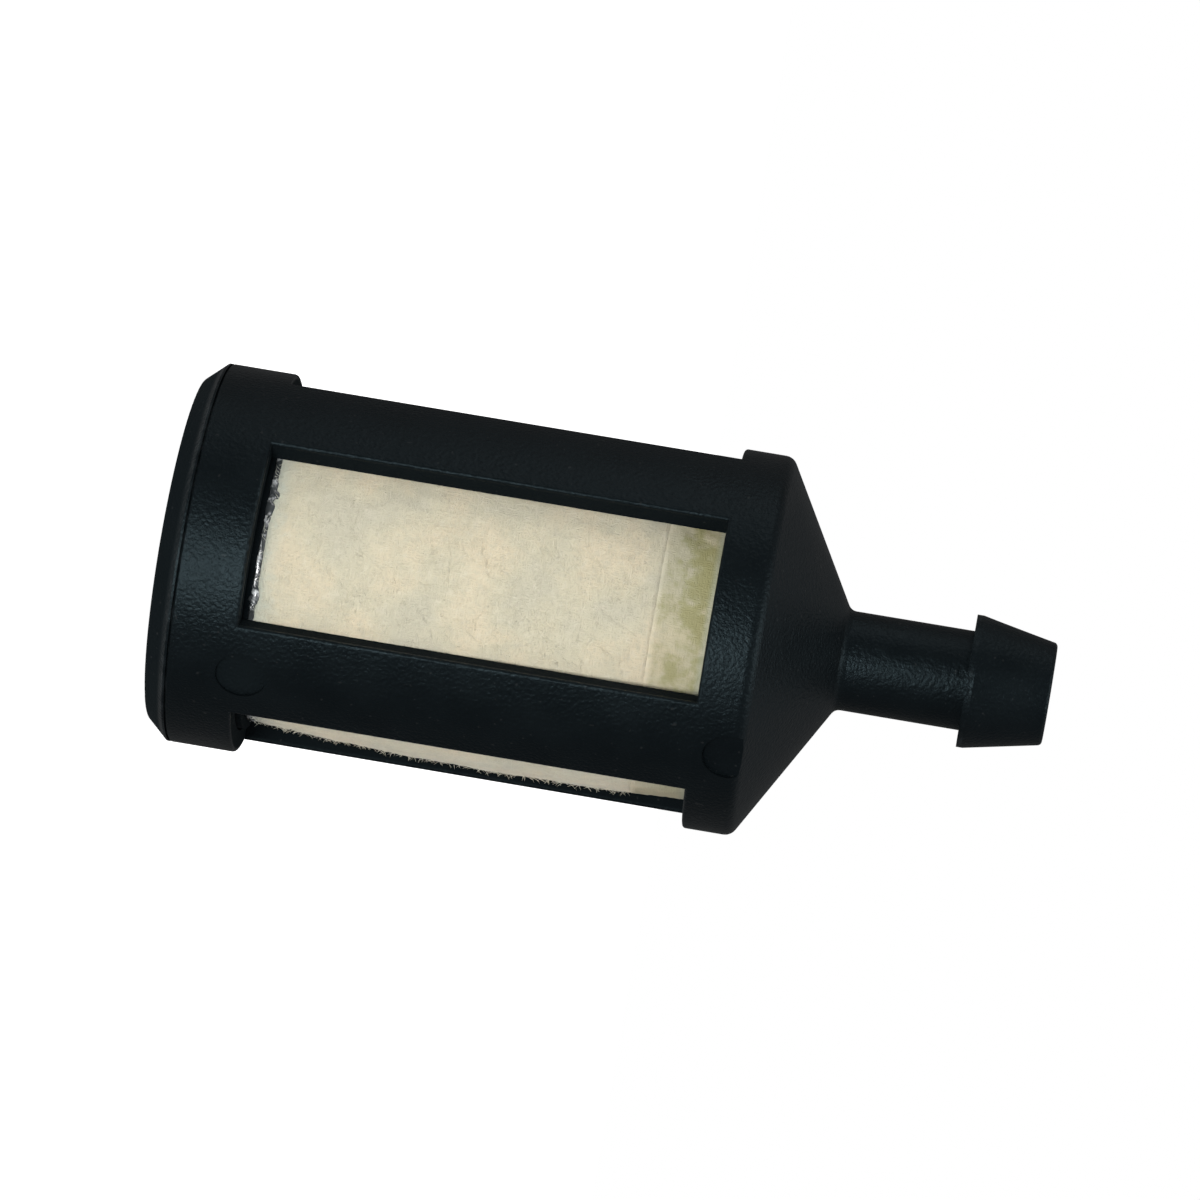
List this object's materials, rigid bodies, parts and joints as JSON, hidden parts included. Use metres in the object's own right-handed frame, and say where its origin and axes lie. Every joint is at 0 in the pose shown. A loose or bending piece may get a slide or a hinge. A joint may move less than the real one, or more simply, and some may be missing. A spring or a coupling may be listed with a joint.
{
  "type": "fuel filter",
  "caption": "In-tank pick-up fuel filter: felt sleeve in a black windowed cage with a conical shoulder and a hose barb, on a weighted end plug.",
  "frame": {"origin": "centre of the end plug's flat face, which the filter stands on", "axes": "+Z along the filter's axis, from the end plug to the hose barb; windows face +X, -X, +Y and -Y; the rib between +X and -Y carries two round ejector marks"},
  "size_m": [0.0172, 0.0172, 0.0396],
  "materials": {
    "cage_nylon": "fine spark-eroded satin",
    "plug_nylon": "satin",
    "ballast_steel": "turned and zinc plated",
    "core_plastic": "natural, semi-matte",
    "screen_nylon": "fine plain weave",
    "felt": "needled felt, fuzzy",
    "resin_felt": "felt soaked with resin, slightly glossy",
    "adhesive": "glossy, translucent"
  },
  "bodies": {
    "cartridge": {"end_plug": "plug_nylon", "ballast_disc": "ballast_steel", "support_core": "core_plastic", "mesh_screen": "screen_nylon", "felt_sleeve": "felt", "bond_band": "resin_felt", "seal_bead": "adhesive"},
    "cage": {"housing": "cage_nylon"}
  },
  "joints": [
    {"name": "housing_pull", "type": "slide", "parent": "cartridge", "child": "cage", "axis": [0, 0, 1], "range_m": [0, 0.028]}
  ]
}
